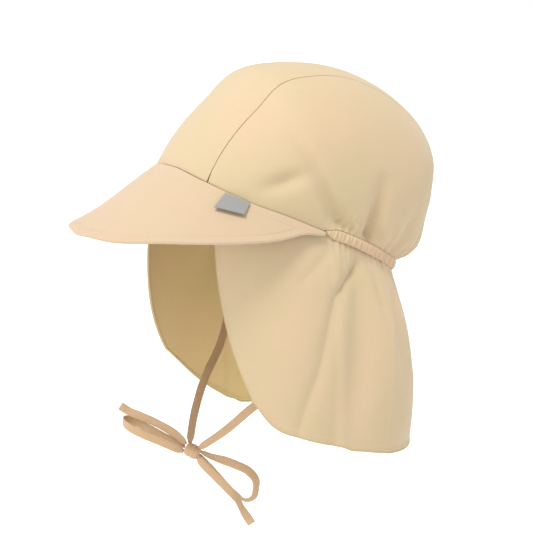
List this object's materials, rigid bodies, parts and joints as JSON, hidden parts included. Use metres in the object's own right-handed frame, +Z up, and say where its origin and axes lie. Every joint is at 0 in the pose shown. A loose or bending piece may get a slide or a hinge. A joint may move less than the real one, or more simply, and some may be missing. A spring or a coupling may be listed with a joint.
{
  "type": "baby sun cap with neck flap",
  "caption": "Soft cotton baby sun cap with a stitched peak, gathered elastic at the back, a hanging neck flap and chin ties in a bow.",
  "frame": {"origin": "middle of the head opening, on the tilted plane of the rim, where a head carries the cap", "axes": "+Z up, +X towards the wearer's left, -Y towards the front, where the peak is"},
  "size_m": [0.1663, 0.2421, 0.2969],
  "materials": {
    "crown_cotton": "matt woven cotton",
    "peak_cotton": "matt woven cotton over a soft stiffener",
    "gathered_cotton": "matt woven cotton, gathered",
    "flap_cotton": "matt woven cotton, lined look with a rolled hem",
    "tab_ribbon": "fine woven ribbon, bare",
    "tie_tape": "folded cotton tape"
  },
  "bodies": {
    "root": {"crown_center_panel": "crown_cotton", "crown_left_panel": "crown_cotton", "crown_right_panel": "crown_cotton", "peak": "peak_cotton", "elastic_casing": "gathered_cotton", "neck_flap": "flap_cotton", "label_tab": "tab_ribbon", "tie_left_strap": "tie_tape", "tie_right_strap": "tie_tape", "bow_front_loop": "tie_tape", "bow_back_loop": "tie_tape", "bow_front_tail": "tie_tape", "bow_back_tail": "tie_tape", "bow_knot": "tie_tape"}
  },
  "joints": []
}
